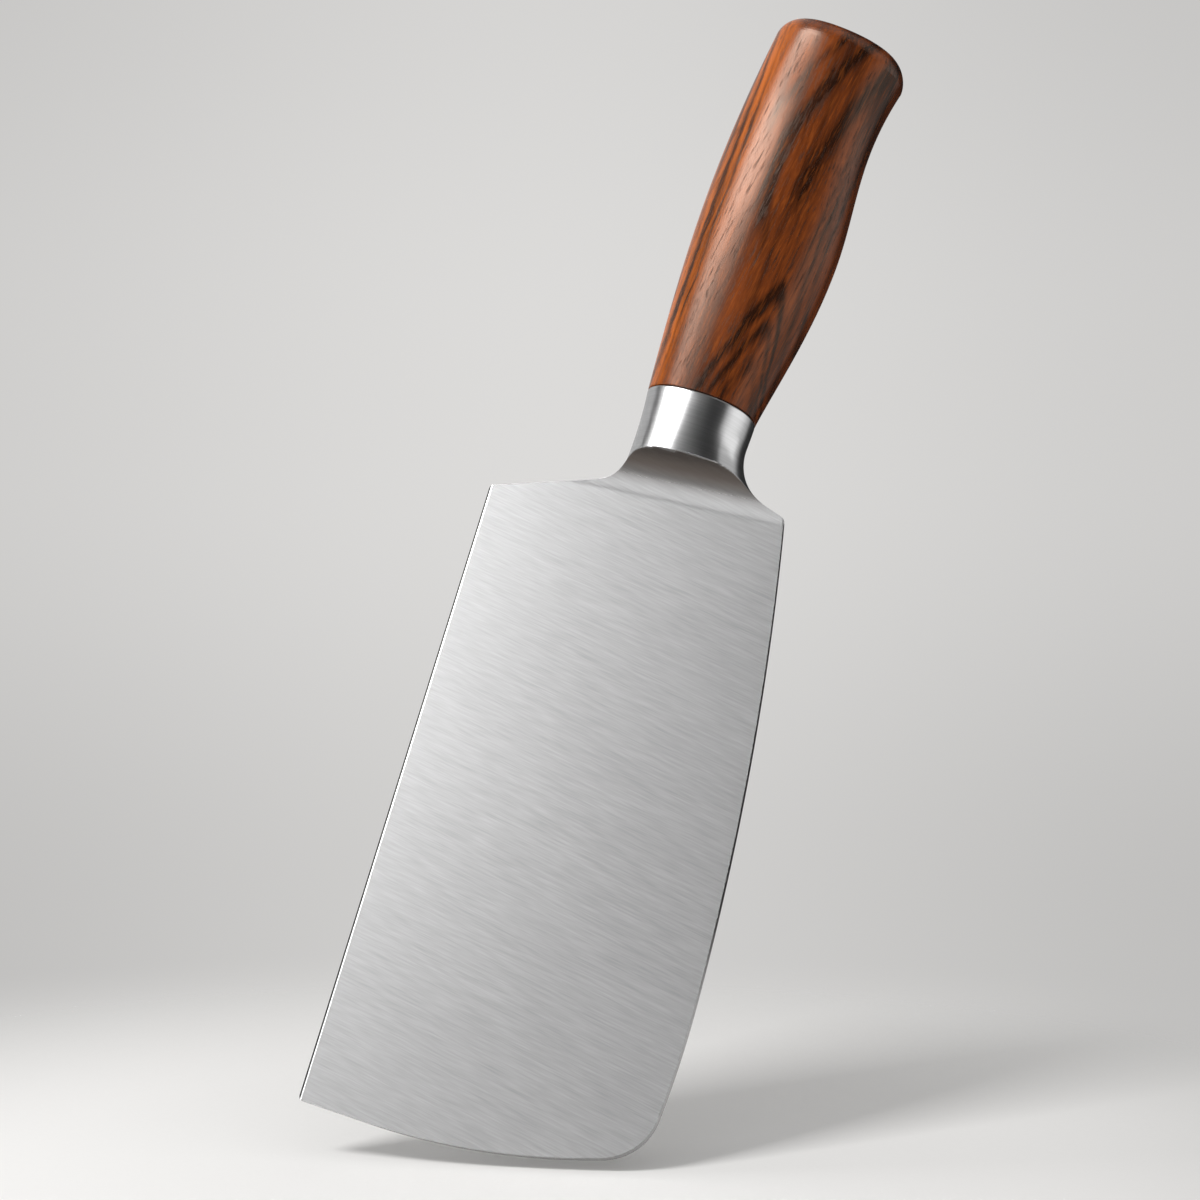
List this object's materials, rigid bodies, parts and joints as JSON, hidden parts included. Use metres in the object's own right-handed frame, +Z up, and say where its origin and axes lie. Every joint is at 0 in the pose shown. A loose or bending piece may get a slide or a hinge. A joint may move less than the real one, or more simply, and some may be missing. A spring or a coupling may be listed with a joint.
{
  "type": "chinese cleaver",
  "caption": "Kitchen cleaver with a wide flat blade tapered from spine to edge, a scooped steel bolster and an oval S-curved wooden handle on a hidden tang.",
  "frame": {"origin": "on the level of the blade's nose, under the middle of the knife's overall width, in the mid plane of the blade", "axes": "+Z runs up the handle's axis, from the nose to the butt; the cutting edge faces -X and the spine +X; the flats of the blade face -Y (the side in the picture) and +Y"},
  "size_m": [0.0909, 0.026, 0.2903],
  "materials": {
    "blade_steel": "fine brushed lines across the blade, satin",
    "bolster_steel": "polished, with fine lines round the collar",
    "tang_steel": "as turned, hidden",
    "adhesive": "cured dark epoxy, hidden but for its line at the bolster",
    "rosewood": "glossy clear lacquer over banded rosewood grain"
  },
  "bodies": {
    "root": {"blade": "blade_steel", "bolster": "bolster_steel", "tang": "tang_steel", "adhesive": "adhesive", "handle": "rosewood"}
  },
  "joints": []
}
